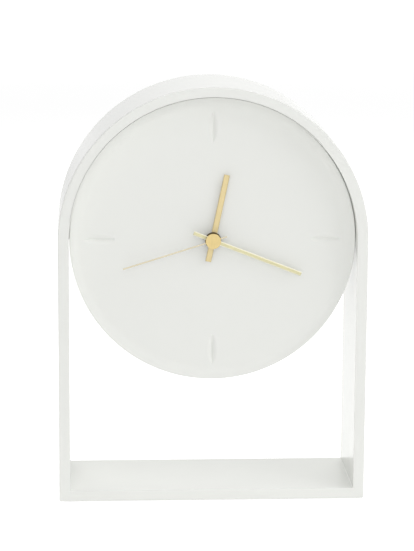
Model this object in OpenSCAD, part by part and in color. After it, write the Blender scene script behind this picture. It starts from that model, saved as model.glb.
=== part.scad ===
// Free-standing table clock: a round clock drum hung in the head of an arch-shaped open frame.
// Millimetres. The front faces -Y, +X is to the right and +Z is up.
// The origin is the middle of the footprint, on the surface that the feet stand on.
// Depths are measured from the front face of the frame, towards the back.

/* [Frame] */
// Width over the two legs
frame_w = 220; // [206:1:240]
// Height over all, feet included
frame_h = 300; // [280:1:330]
// Depth from the front face to the back face
frame_d = 80; // [66:1:100]
// Width of the band as seen from the front
rim_w = 7.8; // [6.8:0.1:10]
// Wall of the hollow band
skin_t = 2.4; // [1.6:0.1:2.8]
// Thickness of the closed front of the band
lip_t = 3; // [2:0.1:5]
// Thickness of the rear closing band
rear_t = 3; // [2:0.1:5]
// Depth of the tongue of the rear band in the channel
tongue_d = 6; // [3:0.5:12]
// Radial width of the half-ring ledge that carries the drum
ledge_w = 12.2; // [10.5:0.1:13]
// Thickness of the ledge
ledge_t = 3; // [2:0.1:4]

/* [Feet] */
// Height of the foot pads below the base
foot_h = 0.8; // [0.5:0.1:2]
// Radius of a foot pad
foot_r = 5; // [3:0.5:8]
// Depth of the socket that holds a pad
foot_seat = 0.9; // [0.5:0.1:1.2]
// Distance from the side of the frame to a pad's centre
foot_inset_x = 14; // [10:1:30]
// Distance from the front or back face to a pad's centre
foot_inset_y = 12; // [9:1:25]

/* [Dial] */
// Gap between the dial and the arch
dial_gap = 1.1; // [0.6:0.1:2]
// Depth of the dial's raised edge behind the front face of the frame
dial_recess = 11; // [9:0.5:13]
// Height of the raised edge over the flat of the dial
edge_h = 2; // [1:0.1:3]
// Radial width of the curve that rises to the edge
edge_w = 7; // [4:0.5:10]
// Width of the flat top of the raised edge
edge_flat = 0.9; // [0.5:0.1:1.5]
// Thickness of the dial
dial_t = 3; // [2.6:0.1:4]
// Length of an hour groove
groove_l = 22; // [14:1:24]
// Width of an hour groove
groove_w = 7; // [5:0.1:9]
// Depth of an hour groove at its keel
groove_deep = 1.2; // [0.8:0.05:1.6]
// Distance from the dial's edge to the middle of a groove
groove_inset = 20.6; // [20:0.1:30]

/* [Drum] */
// Radial play between the drum cover and the ledge
cover_play = 2; // [1:0.1:6]
// Wall of the drum cover
cover_t = 2.2; // [1.8:0.1:3]
// Distance from the outside of the drum cover to the centre of a post
post_inset = 12; // [8:0.5:20]
// Radius of a cover post
post_r = 3.6; // [3:0.1:5]

/* [Hands] */
// Length of the hour hand from the centre to its tip
hour_l = 47.6; // [36:0.1:56]
// Length of the hour hand's tail
hour_tail = 16; // [8:0.5:20]
// Width of the hour hand
hour_w = 4.1; // [3:0.1:6]
// Length of the minute hand from the centre to its tip
minute_l = 67.6; // [56:0.1:90]
// Length of the minute hand's tail
minute_tail = 14.9; // [8:0.1:20]
// Width of the minute hand
minute_w = 3; // [2:0.1:5]
// Length of the second hand from the centre to its tip
second_l = 67.1; // [56:0.1:90]
// Length of the second hand's tail
second_tail = 10.2; // [7:0.1:20]
// Width of the second hand
second_w = 1; // [0.8:0.1:2]
// Thickness of the hour and minute hands
hand_t = 0.5; // [0.4:0.05:0.7]
// Thickness of the second hand
thin_t = 0.3; // [0.25:0.05:0.5]
// Clockwise angle of the hour hand from twelve
hour_at = 11.8; // [0:0.1:360]
// Clockwise angle of the minute hand from twelve
minute_at = 111.4; // [0:0.1:360]
// Clockwise angle of the second hand from twelve
second_at = 252.6; // [0:0.1:360]
// Radius of the front cap
cap_r = 5.45; // [4:0.05:7]
// Thickness of the front cap
cap_t = 0.9; // [0.6:0.1:1.2]
// Radius of the dark collar behind the minute hand
collar_r = 6.3; // [5:0.1:8]
// Thickness of the collar
collar_t = 1.4; // [0.8:0.1:1.6]

/* [Movement] */
// Wall of the movement case
case_t = 1.4; // [1:0.1:1.8]
// Depth of the front half of the case
case_front_d = 7.6; // [7:0.1:9]
// Radius of the stem that passes through the dial
stem_r = 4; // [3.6:0.1:5]
// Thickness of the rubber ring between dial and movement
gasket_t = 1; // [0.5:0.1:2]
// Thickness of a toothed wheel
wheel_t = 0.9; // [0.7:0.05:0.95]
// Free depth between two wheels
wheel_gap = 0.4; // [0.3:0.05:0.45]
// Radius of the time-setting knob
knob_r = 5.6; // [4:0.1:6.4]
// Height of the knob over the drum cover
knob_out = 3.9; // [2:0.1:6]

/* [Battery] */
// Radius of the round cell
cell_r = 7.1; // [6.5:0.05:7.2]
// Length of the cell with its nub
cell_l = 50.5; // [49.5:0.1:52]
// Depth of the spring leaf at the end of the cell
spring_l = 1.9; // [1.2:0.1:3]
// Thickness of the battery door
door_t = 1.6; // [1.2:0.1:2.4]
// Travel of the battery door
door_travel = 21; // [20:0.5:24]

/* [Hidden] */

$fn = 96;
// Overrun of a cut past a face
over = 1;
// Radial play of a shaft that turns in a bore
run_fit = 0.05;
// Radial play of a piece that is pushed onto its shaft
push_fit = 0.03;
// Play of the tongue in the channel, and of the door in its rails
slide_fit = 0.2;

// Frame, worked out
arch_r = frame_w / 2;
arch_z = frame_h - arch_r;
inner_r = arch_r - rim_w;
shell_d = frame_d - rear_t;

// Dial, worked out
dial_r = inner_r - dial_gap;
face_y = dial_recess + edge_h;
dial_back = face_y + dial_t;
edge_steps = 8;
// Radius of the sharp-edged wheel that cuts an hour groove
groove_wheel_r = (groove_l * groove_l / 4 + groove_deep * groove_deep) / (2 * groove_deep);
groove_at = dial_r - groove_inset;
ledge_r = inner_r - ledge_w;
ledge_back = dial_back + ledge_t;
cover_r = ledge_r - cover_play;
post_at = cover_r - post_inset;

// Screws
screw_r = 1.15;
screw_head_r = 2.6;
screw_head_t = 1.6;
screw_play = 0.45;
cross_w = 0.6;
cross_l = 3;
cross_deep = 0.8;
ledge_bite = 2.2;
post_bite = 9;
case_bite = 3.2;
// Depth left free under the end of a screw
bite_play = 0.5;
// Distance from the arch wall to the middle of a ledge screw
ledge_screw_in = 6;
ledge_screw_angles = [30, 90, 150];
post_angles = [45, 135, 225, 315];

// Movement, worked out: depths
case_y = dial_back + gasket_t;
contact_t = 0.4;
case_w = cell_l + spring_l + 2 * (contact_t + case_t);
case_x = case_w / 2;
case_in_x = case_x - case_t;
case_split = case_y + case_front_d;
room_y = case_y + case_t;
// The cell lies between the front of the movement and its open back
cell_gap = 0.1;
cell_sink = 0.3;
cell_y = room_y + cell_gap + cell_r;
case_back = cell_y + cell_r + cell_sink;
room_back = case_back - case_t;
// Front and back face of the cover's back wall
cover_in_gap = 1.4;
cover_in = case_back + cover_in_gap;
cover_back = cover_in + cover_t;

// Depth of the front face of the wheels on each level, counted from the front of the movement
function level(n) = room_y + wheel_gap + n * (wheel_t + wheel_gap);

// Depths of the hands
stem_out = 1.4;
stem_end = face_y - stem_out;
hour_gap = 0.5;
hour_boss_t = 1.2;
hour_boss_r = 3.2;
hour_y = stem_end - hour_gap - hour_boss_t - hand_t;
collar_gap = 0.5;
collar_y = hour_y - collar_gap - collar_t;
minute_y = collar_y - hand_t;
minute_boss_r = 2.6;
minute_boss_t = 0.4;
second_gap = 0.5;
second_boss_t = 0.7;
second_boss_r = 1.3;
second_y = minute_y - minute_boss_t - second_gap - second_boss_t - thin_t;
cap_boss_t = 0.7;
cap_boss_r = 1.5;
cap_y = second_y - cap_boss_t - cap_t;

// Arbors and tubes on the clock's axis
arbor_r = 0.5;
arbor_end = cap_y + cap_t / 2;
minute_tube_r = 1.1;
minute_tube_end = minute_y - minute_boss_t;
hour_tube_r = 1.9;
stud_r = 0.5;
rotor_stud_r = 0.4;
shoulder_r = 1.3;
rotor_shoulder_r = 0.9;
bearing_r = 1.6;
bearing_l = 2.2;
bearing_deep = 1.8;
// Play between the end of an arbor and the bottom of its bearing
arbor_play = 0.4;
// Wall of a wheel's hub
hub_wall = 0.4;
arbor_front = room_y + bearing_l - bearing_deep + arbor_play;
arbor_back = room_back - bearing_l + bearing_deep - arbor_play;

// Toothed wheels: teeth and modules of each meshing pair
hour_teeth = 24;
reverser_pinion_teeth = 6;
hour_mod = 0.48;
reverser_teeth = 24;
cannon_teeth = 8;
knob_teeth = 16;
minute_teeth = 48;
third_pinion_teeth = 6;
third_teeth = 45;
second_pinion_teeth = 6;
third_mod = 0.4;
second_teeth = 30;
intermediate_pinion_teeth = 6;
second_mod = 0.5;
intermediate_teeth = 36;
rotor_teeth = 6;
rotor_mod = 0.4;

// Distances between the arbors, from the teeth
reverser_stand = hour_mod * (hour_teeth + reverser_pinion_teeth) / 2;
reverser_mod = reverser_stand * 2 / (reverser_teeth + cannon_teeth);
third_stand = third_mod * (third_teeth + second_pinion_teeth) / 2;
minute_mod = third_stand * 2 / (minute_teeth + third_pinion_teeth);
intermediate_stand = second_mod * (second_teeth + intermediate_pinion_teeth) / 2;
rotor_stand = rotor_mod * (intermediate_teeth + rotor_teeth) / 2;
knob_stand = reverser_mod * (reverser_teeth + knob_teeth) / 2;

// Places of the arbors beside the clock's axis, as [x, z]
reverser_at = [0, reverser_stand];
third_at = [third_stand, 0];
intermediate_at = [-intermediate_stand, 0];
rotor_at = [-intermediate_stand, rotor_stand];
knob_at = [0, reverser_stand + knob_stand];

// Tooth shape, as shares of the module and of the tooth pitch: [height over the pitch circle,
// depth below it, half width at the tip, half width at the root]
wheel_tooth_shares = [0.7, 1, 0.07, 0.2];
pinion_tooth_shares = [0.6, 1, 0.09, 0.22];

// Battery bay of the movement, under the widest wheels
bay_play = 0.4;
bay_wall = 1.2;
train_gap = 1;
third_r = third_mod * (third_teeth / 2 + wheel_tooth_shares[0]);
minute_r = minute_mod * (minute_teeth / 2 + wheel_tooth_shares[0]);
bay_top = -max(third_r, minute_r) - train_gap - bay_wall;
bay_low = bay_top - 2 * (cell_r + bay_play);
case_low = bay_low - case_t;
cell_z = bay_low + cell_r + bay_play;
nub_r = 2.7;
nub_l = 1.4;
contact_w = 9;
contact_h = 11;
cell_x = case_in_x - contact_t;

// Battery door and its rails on the drum cover
window_side = 1;
door_lap = 2;
window_half = case_x + window_side;
door_half = window_half + door_lap;
door_top = bay_top + door_lap + window_side;
door_low = bay_low - door_lap - window_side;
rail_t = 1.8;
rail_lap = 1.5;
rail_lip = 1.2;
rail_l = (door_top - door_low) + door_travel;
door_y = cover_back + slide_fit;
rib_h = 0.8;
rib_t = 1;
rib_l = 16;
rib_pitch = 3;
rib_count = 3;

// Lugs of the movement
lug_r = 4.2;
lug_t = 2;
lug_out = 4.2;
lug_hole_play = 0.4;
lug_at = case_x + lug_out;
lug_stand = 4;
lug_y = dial_back + lug_stand;

// Coil, stator and circuit
stator_t = 1.2;
stator_gap = 0.6;
stator_y = level(6) + stator_gap;
coil_side = 0.8;
coil_low = 0;
coil_l = 16;
coil_tube_r = 1.7;
coil_r = 3.1;
flange_r = 3.4;
flange_t = 0.8;
coil_at = case_in_x - coil_side - flange_r;
core_w = 2;
core_play = 0.1;
arm_w = 3;
arm_gap = 0.6;
stator_in = 4.4;
stator_out = 14;
rotor_hole_r = 3.6;
magnet_r = 3;
magnet_t = 2.4;
magnet_back = level(6) + magnet_t;
pillar_r = 1.2;
board_side = 1.6;
board_w = 17;
board_h = 14;
board_x = case_in_x - board_side - board_w;
board_z = 11;
case_high = board_z + board_h + board_side + case_t;
case_h = case_high - case_low;
board_t = 1;
board_y = stator_y + stator_t - board_t;
board_inset = 2.6;
chip_r = 2.6;
chip_t = 0.8;
chip_at = [13, 5];
crystal_r = 1;
crystal_l = 6;
crystal_at = [4, 10.5];

// Knob
knob_shaft_r = 1.5;
knob_pivot_r = 0.8;
knob_hole_play = 1.6;
knob_sink = 0.4;
knob_head_y = cover_in - knob_sink;
flute_count = 20;
flute_r = 0.7;

// Moves a piece drawn about the clock's axis, with depths from the front face, into place
module at_dial() {
    translate([0, -frame_d / 2, arch_z]) children();
}

// Moves a piece drawn with heights from the surface, with depths from the front face, into place
module at_base() {
    translate([0, -frame_d / 2, 0]) children();
}

// Moves a piece to the arbor at p, given as [x, z]
module at_arbor(p) {
    at_dial() translate([p[0], 0, p[1]]) children();
}

// A plate from an outline drawn in x and z, from depth y on
module plate(y, t) {
    translate([0, y + t, 0]) rotate([90, 0, 0]) linear_extrude(t) children();
}

// A round rod along the depth, from depth y on
module rod(y, l, r) {
    translate([0, y, 0]) rotate([-90, 0, 0]) cylinder(h = l, r = r);
}

// A round tube along the depth, from depth y on
module tube(y, l, r, bore) {
    difference() {
        rod(y, l, r);
        rod(y - over, l + 2 * over, bore);
    }
}

// A ring turned from a profile drawn as [radius, depth]
module turned() {
    rotate([-90, 0, 0]) rotate_extrude() children();
}

// The outline of the arch, drawn in by inset on every side
module arch_outline(inset) {
    r = arch_r - inset;
    translate([0, arch_z]) circle(r);
    translate([-r, foot_h + inset]) square([2 * r, arch_z - foot_h - inset]);
}

// The closed band between two insets of the arch
module band_outline(from, to) {
    difference() {
        arch_outline(from);
        arch_outline(to);
    }
}

// A toothed outline with a tooth centred on the angle phase, counted from +x towards +z
module toothed(teeth, mod, phase, shares) {
    pitch_r = teeth * mod / 2;
    tip = pitch_r + shares[0] * mod;
    root = pitch_r - shares[1] * mod;
    step = 360 / teeth;
    corners = [[root, -shares[3]], [tip, -shares[2]], [tip, shares[2]], [root, shares[3]]];
    polygon([for (i = [0 : teeth - 1]) for (c = corners)
        c[0] * [cos(phase + step * (i + c[1])), sin(phase + step * (i + c[1]))]]);
}

// A wheel on a level, with its own bore cut by the caller
module wheel(n, teeth, mod, phase) {
    plate(level(n), wheel_t) toothed(teeth, mod, phase, wheel_tooth_shares);
}

// A pinion on a level
module pinion(n, teeth, mod, phase) {
    plate(level(n), wheel_t) toothed(teeth, mod, phase, pinion_tooth_shares);
}

// A screw with its head's seat at depth y and its shank towards the front
module screw(y, l) {
    difference() {
        union() {
            rod(y, screw_head_t, screw_head_r);
            rod(y - l, l, screw_r);
        }
        for (a = [0, 90])
            rotate([0, a, 0])
                translate([-cross_l / 2, y + screw_head_t - cross_deep, -cross_w / 2])
                    cube([cross_l, cross_deep + over, cross_w]);
    }
}

// Places on a circle of the clock face, at angles from +x towards +z
module around(r, angles) {
    for (a = angles) translate([r * cos(a), 0, r * sin(a)]) children();
}

module frame_shell() {
    color("white") at_base() difference() {
        union() {
            difference() {
                plate(0, shell_d) band_outline(0, rim_w);
                plate(lip_t, shell_d) band_outline(skin_t, rim_w - skin_t);
            }
            translate([0, 0, arch_z]) difference() {
                plate(dial_back, ledge_t) intersection() {
                    difference() {
                        circle(inner_r + skin_t / 2);
                        circle(ledge_r);
                    }
                    translate([-arch_r, 0]) square([2 * arch_r, arch_r]);
                }
                around(inner_r - ledge_screw_in, ledge_screw_angles)
                    rod(dial_back - over, ledge_t + 2 * over, screw_r + screw_play);
            }
        }
        foot_places() translate([0, 0, -over]) cylinder(h = foot_h + foot_seat + over, r = foot_r + push_fit);
    }
}

module rear_band() {
    color("white") at_base() {
        plate(shell_d, rear_t) band_outline(0, rim_w);
        plate(shell_d - tongue_d, tongue_d)
            band_outline(skin_t + slide_fit, rim_w - skin_t - slide_fit);
    }
}

// The four corners of the base
module foot_places() {
    for (x = [-1, 1]) for (y = [foot_inset_y, frame_d - foot_inset_y])
        translate([x * (arch_r - foot_inset_x), y, 0]) children();
}

module foot_pads() {
    color("gainsboro") at_base() foot_places() cylinder(h = foot_h + foot_seat, r = foot_r);
}

module ledge_screws() {
    color("silver") at_dial() around(inner_r - ledge_screw_in, ledge_screw_angles)
        screw(ledge_back, ledge_t + ledge_bite);
}

// The profile of the dial, as [radius, depth], with the curve that rises to its edge
module dial_profile() {
    hole = stem_r + 2 * run_fit;
    rise_r = dial_r - edge_flat - edge_w;
    rise = [for (i = [0 : edge_steps])
        let (s = i / edge_steps) [rise_r + s * edge_w, face_y - edge_h * (1 - cos(90 * s))]];
    polygon(concat([[hole, dial_back], [hole, face_y]], rise,
        [[dial_r, dial_recess], [dial_r, dial_back]]));
}

// The sharp-edged wheel that cuts one boat-shaped hour groove along x
module groove_wheel() {
    for (m = [0, 1]) mirror([0, 0, m])
        cylinder(h = groove_w, r1 = groove_wheel_r, r2 = groove_wheel_r - 2 * groove_deep);
}

module dial() {
    color("white") at_dial() difference() {
        union() {
            turned() dial_profile();
            around(post_at, post_angles) rod(dial_back, cover_in - dial_back, post_r);
            around(lug_at, [0, 180]) rod(dial_back, lug_y - dial_back, lug_r - lug_hole_play);
        }
        for (a = [0, 90, 180, 270])
            rotate([0, a, 0]) translate([groove_at, face_y + groove_deep - groove_wheel_r, 0])
                groove_wheel();
        around(post_at, post_angles)
            rod(cover_in - post_bite - bite_play, post_bite + bite_play + over, screw_r + run_fit);
        around(lug_at, [0, 180])
            rod(lug_y - case_bite - bite_play, case_bite + bite_play + over, screw_r + run_fit);
        around(inner_r - ledge_screw_in, ledge_screw_angles)
            rod(dial_back - ledge_bite, ledge_bite + over, screw_r + run_fit);
    }
}

// One L-shaped rail of the battery door, as an outline in x and y
module rail_outline() {
    square_x = door_half + slide_fit;
    translate([square_x, cover_back]) square([rail_t, slide_fit + door_t + slide_fit + rail_lip]);
    translate([square_x - rail_lap, door_y + door_t + slide_fit]) square([rail_lap + rail_t, rail_lip]);
}

module drum_cover() {
    color("white") at_dial() {
        difference() {
            rod(dial_back, cover_back - dial_back, cover_r);
            rod(dial_back - over, cover_in - dial_back + over, cover_r - cover_t);
            around(post_at, post_angles) rod(cover_in - over, cover_t + 2 * over, screw_r + screw_play);
            translate([-window_half, cover_in - over, bay_low - window_side])
                cube([2 * window_half, cover_t + 2 * over, bay_top - bay_low + 2 * window_side]);
            translate([knob_at[0], 0, knob_at[1]])
                rod(cover_in - over, cover_t + 2 * over, knob_r + knob_hole_play);
        }
        for (s = [0, 1]) mirror([s, 0, 0])
            translate([0, 0, door_top - rail_l]) linear_extrude(rail_l) rail_outline();
        translate([-door_half - slide_fit - rail_t, cover_back, door_top + slide_fit])
            cube([2 * (door_half + slide_fit + rail_t), door_t + slide_fit, rail_t]);
    }
}

module cover_screws() {
    color("silver") at_dial() around(post_at, post_angles) screw(cover_back, cover_t + post_bite);
}

module battery_door() {
    color("white") at_dial() {
        translate([-door_half, door_y, door_low]) cube([2 * door_half, door_t, door_top - door_low]);
        for (i = [0 : rib_count - 1])
            translate([-rib_l / 2, door_y, door_low + rib_pitch * (i + 1)])
                cube([rib_l, door_t + rib_h, rib_t]);
    }
}

// A flat hand with square ends, pointing up before it is turned
module blade(y, t, w, l, tail) {
    plate(y, t) translate([-w / 2, -tail]) square([w, tail + l]);
}

module hour_hand() {
    color("goldenrod") at_dial() rotate([0, hour_at, 0]) difference() {
        union() {
            blade(hour_y, hand_t, hour_w, hour_l, hour_tail);
            rod(hour_y, hand_t + hour_boss_t, hour_boss_r);
        }
        rod(hour_y - over, hand_t + hour_boss_t + 2 * over, hour_tube_r + push_fit);
    }
}

module minute_hand() {
    color("goldenrod") at_dial() rotate([0, minute_at, 0]) difference() {
        union() {
            blade(minute_y, hand_t, minute_w, minute_l, minute_tail);
            rod(minute_y - minute_boss_t, hand_t + minute_boss_t, minute_boss_r);
        }
        rod(minute_y - minute_boss_t - over, hand_t + minute_boss_t + 2 * over, minute_tube_r + push_fit);
    }
}

module hub_collar() {
    color("#141414") at_dial() tube(collar_y, collar_t, collar_r, minute_tube_r + push_fit);
}

module second_hand() {
    color("goldenrod") at_dial() rotate([0, second_at, 0]) difference() {
        union() {
            blade(second_y, thin_t, second_w, second_l, second_tail);
            rod(second_y, thin_t + second_boss_t, second_boss_r);
        }
        rod(second_y - over, thin_t + second_boss_t + 2 * over, arbor_r + push_fit);
    }
}

module front_cap() {
    color("goldenrod") at_dial() difference() {
        union() {
            rod(cap_y, cap_t, cap_r);
            rod(cap_y, cap_t + cap_boss_t, cap_boss_r);
        }
        rod(arbor_end, cap_t + cap_boss_t + over, arbor_r + push_fit);
    }
}

// The outline of the movement case, drawn in by inset on every side
module case_outline(inset) {
    translate([inset - case_x, case_low + inset]) square([case_w - 2 * inset, case_h - 2 * inset]);
}

// The wall between the battery bay and the wheels
module bay_wall_outline() {
    translate([-case_x, bay_top]) square([case_w, bay_wall]);
}

module movement_front_case() {
    color("#1c1c1e") at_dial() difference() {
        union() {
            plate(case_y, case_t) case_outline(0);
            plate(case_y, case_front_d) difference() {
                case_outline(0);
                case_outline(case_t);
            }
            plate(case_y, case_front_d) bay_wall_outline();
            rod(stem_end, case_y - stem_end, stem_r);
            for (s = [-1, 1]) {
                translate([s * lug_at, 0, 0]) rod(lug_y, lug_t, lug_r);
                translate([min(s * case_in_x, s * lug_at), lug_y, -lug_r])
                    cube([lug_at - case_in_x, lug_t, 2 * lug_r]);
            }
            translate([reverser_at[0], 0, reverser_at[1]])
                rod(room_y, level(2) - wheel_gap / 2 - room_y, stud_r);
            translate([third_at[0], 0, third_at[1]]) rod(room_y, bearing_l, bearing_r);
            translate([knob_at[0], 0, knob_at[1]])
                rod(room_y, level(1) - wheel_gap / 2 - room_y, bearing_r);
        }
        rod(stem_end - over, room_y - stem_end + 2 * over, hour_tube_r + run_fit);
        translate([third_at[0], 0, third_at[1]])
            rod(room_y + bearing_l - bearing_deep, bearing_deep + over, arbor_r + run_fit);
        translate([knob_at[0], 0, knob_at[1]])
            rod(room_y, level(1) - room_y, knob_pivot_r + run_fit);
        for (s = [-1, 1])
            translate([s * lug_at, 0, 0]) rod(lug_y - over, lug_t + 2 * over, screw_r + lug_hole_play);
    }
}

module movement_rear_case() {
    color("#26262a") at_dial() difference() {
        union() {
            plate(case_split, case_back - case_split) difference() {
                case_outline(0);
                case_outline(case_t);
            }
            plate(case_split, case_back - case_split) bay_wall_outline();
            plate(room_back, case_t) translate([-case_x, bay_top]) square([case_w, case_high - bay_top]);
            rod(room_back - bearing_l, bearing_l, bearing_r);
            translate([third_at[0], 0, third_at[1]]) rod(room_back - bearing_l, bearing_l, bearing_r);
            translate([intermediate_at[0], 0, intermediate_at[1]]) {
                rod(level(4) - wheel_gap / 2, room_back - level(4), stud_r);
                rod(level(6), room_back - level(6), shoulder_r);
            }
            translate([rotor_at[0], 0, rotor_at[1]]) {
                rod(level(5) - wheel_gap / 2, room_back - level(5), rotor_stud_r);
                rod(magnet_back + wheel_gap, room_back - magnet_back - wheel_gap, rotor_shoulder_r);
            }
            pillar_places() rod(stator_y + stator_t, room_back - stator_y - stator_t, pillar_r);
        }
        rod(room_back - bearing_l - over, bearing_deep + over, arbor_r + run_fit);
        translate([third_at[0], 0, third_at[1]])
            rod(room_back - bearing_l - over, bearing_deep + over, arbor_r + run_fit);
        translate([knob_at[0], 0, knob_at[1]])
            rod(room_back - over, case_t + 2 * over, knob_shaft_r + run_fit);
    }
}

// Pillars of the rear case that carry the stator and the circuit board
module pillar_places() {
    for (p = [[-stator_out + pillar_r, coil_low - arm_gap - arm_w / 2],
              [-stator_out + pillar_r, coil_low + coil_l + arm_gap + arm_w / 2],
              [board_x + board_inset, board_z + board_inset],
              [board_x + board_w - board_inset, board_z + board_h - board_inset]])
        translate([p[0], 0, p[1]]) children();
}

module stem_gasket() {
    color("#101010") at_dial() tube(dial_back, gasket_t, 2 * stem_r, stem_r + 2 * run_fit);
}

module movement_screws() {
    color("silver") at_dial() around(lug_at, [0, 180]) screw(lug_y + lug_t, lug_t + case_bite);
}

module hour_wheel() {
    color("gold") at_dial() difference() {
        union() {
            wheel(0, hour_teeth, hour_mod, 90);
            rod(hour_y, level(0) + wheel_t - hour_y, hour_tube_r);
        }
        rod(hour_y - over, level(1) - hour_y + over, minute_tube_r + run_fit);
    }
}

module reverser_wheel() {
    color("khaki") at_arbor(reverser_at) difference() {
        union() {
            wheel(1, reverser_teeth, reverser_mod, 90 + 180 / reverser_teeth);
            pinion(0, reverser_pinion_teeth, hour_mod, -90 + 180 / reverser_pinion_teeth);
            rod(level(0), level(1) + wheel_t - level(0), stud_r + hub_wall);
        }
        rod(level(0) - over, level(2) - level(0) + over, stud_r + run_fit);
    }
}

module cannon_pinion() {
    color("gold") at_dial() difference() {
        union() {
            pinion(1, cannon_teeth, reverser_mod, 90);
            rod(minute_tube_end, level(3) - wheel_gap / 2 - minute_tube_end, minute_tube_r);
        }
        rod(minute_tube_end - over, level(3) - minute_tube_end + 2 * over, arbor_r + run_fit);
    }
}

module minute_wheel() {
    color("khaki") at_dial() difference() {
        wheel(2, minute_teeth, minute_mod, 180 / minute_teeth);
        rod(level(2) - over, wheel_t + 2 * over, minute_tube_r + run_fit);
    }
}

module third_wheel() {
    color("khaki") at_arbor(third_at) {
        wheel(3, third_teeth, third_mod, 180 + 180 / third_teeth);
        pinion(2, third_pinion_teeth, minute_mod, 180);
        rod(level(2), level(3) + wheel_t - level(2), arbor_r + hub_wall);
        rod(arbor_front, arbor_back - arbor_front, arbor_r);
    }
}

module second_wheel() {
    color("khaki") at_dial() {
        wheel(4, second_teeth, second_mod, 180 + 180 / second_teeth);
        pinion(3, second_pinion_teeth, third_mod, 0);
        rod(level(3), level(4) + wheel_t - level(3), arbor_r + hub_wall / 2);
        rod(arbor_end, arbor_back - arbor_end, arbor_r);
    }
}

module intermediate_wheel() {
    color("khaki") at_arbor(intermediate_at) difference() {
        union() {
            wheel(5, intermediate_teeth, rotor_mod, 90 + 180 / intermediate_teeth);
            pinion(4, intermediate_pinion_teeth, second_mod, 0);
            rod(level(4), level(5) + wheel_t - level(4), stud_r + hub_wall);
        }
        rod(level(4) - over, level(6) - level(4) + over, stud_r + run_fit);
    }
}

module rotor() {
    color("dimgray") at_arbor(rotor_at) difference() {
        union() {
            pinion(5, rotor_teeth, rotor_mod, -90);
            rod(level(5), level(6) - level(5), rotor_stud_r + hub_wall);
            rod(level(6), magnet_t, magnet_r);
        }
        rod(level(5) - over, magnet_back - level(5) + 2 * over, rotor_stud_r + run_fit);
    }
}

module stator() {
    low = coil_low - arm_gap - arm_w;
    high = coil_low + coil_l + arm_gap + arm_w;
    color("slategray") at_dial() plate(stator_y, stator_t) difference() {
        union() {
            translate([-coil_at - core_w / 2, low]) square([core_w, high - low]);
            for (z = [low, high - arm_w])
                translate([-coil_at - core_w / 2, z]) square([coil_at + core_w / 2 - stator_in, arm_w]);
            translate([-stator_out, low]) square([stator_out - stator_in, high - low]);
        }
        translate(rotor_at) circle(rotor_hole_r);
        translate(intermediate_at) circle(shoulder_r + wheel_gap);
    }
}

module coil_bobbin() {
    color("ivory") at_dial() translate([-coil_at, stator_y + stator_t / 2, coil_low]) difference() {
        union() {
            cylinder(h = coil_l, r = coil_tube_r);
            cylinder(h = flange_t, r = flange_r);
            translate([0, 0, coil_l - flange_t]) cylinder(h = flange_t, r = flange_r);
        }
        translate([-core_w / 2 - core_play, -stator_t / 2 - core_play, -over])
            cube([core_w + 2 * core_play, stator_t + 2 * core_play, coil_l + 2 * over]);
    }
}

module coil_winding() {
    color("peru") at_dial() translate([-coil_at, stator_y + stator_t / 2, coil_low + flange_t])
        difference() {
            cylinder(h = coil_l - 2 * flange_t, r = coil_r);
            translate([0, 0, -over]) cylinder(h = coil_l + over, r = coil_tube_r);
        }
}

module circuit_board() {
    color("darkgreen") at_dial() {
        plate(board_y, board_t) translate([board_x, board_z]) square([board_w, board_h]);
        translate([board_x + chip_at[0], 0, board_z + chip_at[1]]) rod(board_y - chip_t, chip_t, chip_r);
    }
}

module quartz_crystal() {
    color("silver") at_dial()
        translate([board_x + crystal_at[0], board_y - crystal_r, board_z + crystal_at[1]])
            rotate([0, 90, 0]) cylinder(h = crystal_l, r = crystal_r);
}

module battery() {
    color("darkslategray") at_dial() translate([cell_x, cell_y, cell_z]) rotate([0, -90, 0]) {
        cylinder(h = nub_l + over, r = nub_r);
        translate([0, 0, nub_l]) cylinder(h = cell_l - nub_l, r = cell_r);
    }
}

module plus_contact() {
    color("lightgray") at_dial()
        translate([cell_x, cell_y - contact_h / 2, cell_z - contact_w / 2])
            cube([contact_t, contact_h, contact_w]);
}

// A flat plate on the bay's end wall with a bent leaf that presses on the cell
module minus_contact() {
    leaf = [[0, 0], [contact_t, 0], [contact_t, contact_h / 4], [contact_t + spring_l, contact_h / 2],
            [contact_t, 3 * contact_h / 4], [contact_t, contact_h], [0, contact_h]];
    color("lightgray") at_dial()
        translate([-case_in_x, cell_y - contact_h / 2, cell_z - contact_w / 2])
            linear_extrude(contact_w) polygon(leaf);
}

module setting_knob() {
    color("gainsboro") at_arbor(knob_at) {
        pinion(1, knob_teeth, reverser_mod, -90);
        rod(room_y + wheel_gap, level(1) - room_y, knob_pivot_r);
        rod(level(1), knob_head_y - level(1) + over, knob_shaft_r);
        plate(knob_head_y, cover_back + knob_out - knob_head_y) difference() {
            circle(knob_r);
            for (i = [0 : flute_count - 1])
                rotate(i * 360 / flute_count) translate([knob_r + flute_r / 3, 0]) circle(flute_r);
        }
    }
}

frame_shell();
rear_band();
foot_pads();
ledge_screws();
dial();
drum_cover();
cover_screws();
battery_door();
hour_hand();
minute_hand();
hub_collar();
second_hand();
front_cap();
movement_front_case();
movement_rear_case();
stem_gasket();
movement_screws();
hour_wheel();
reverser_wheel();
cannon_pinion();
minute_wheel();
third_wheel();
second_wheel();
intermediate_wheel();
rotor();
stator();
coil_bobbin();
coil_winding();
circuit_board();
quartz_crystal();
battery();
plus_contact();
minus_contact();
setting_knob();
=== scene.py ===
"""Looks of a free-standing table clock.

A round clock drum hangs in the head of an arch-shaped open frame of glossy white plastic, with
gold-coloured hands. Sizes are in millimetres, depths are measured from the front face of the
frame towards the back, and heights from the surface that the feet stand on.
"""

from __future__ import annotations

import functools
import logging
import math
from dataclasses import dataclass, field
from enum import Enum
from typing import NamedTuple, Sequence, Union

import bmesh
import bpy
from mathutils import Matrix, Vector


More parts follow.
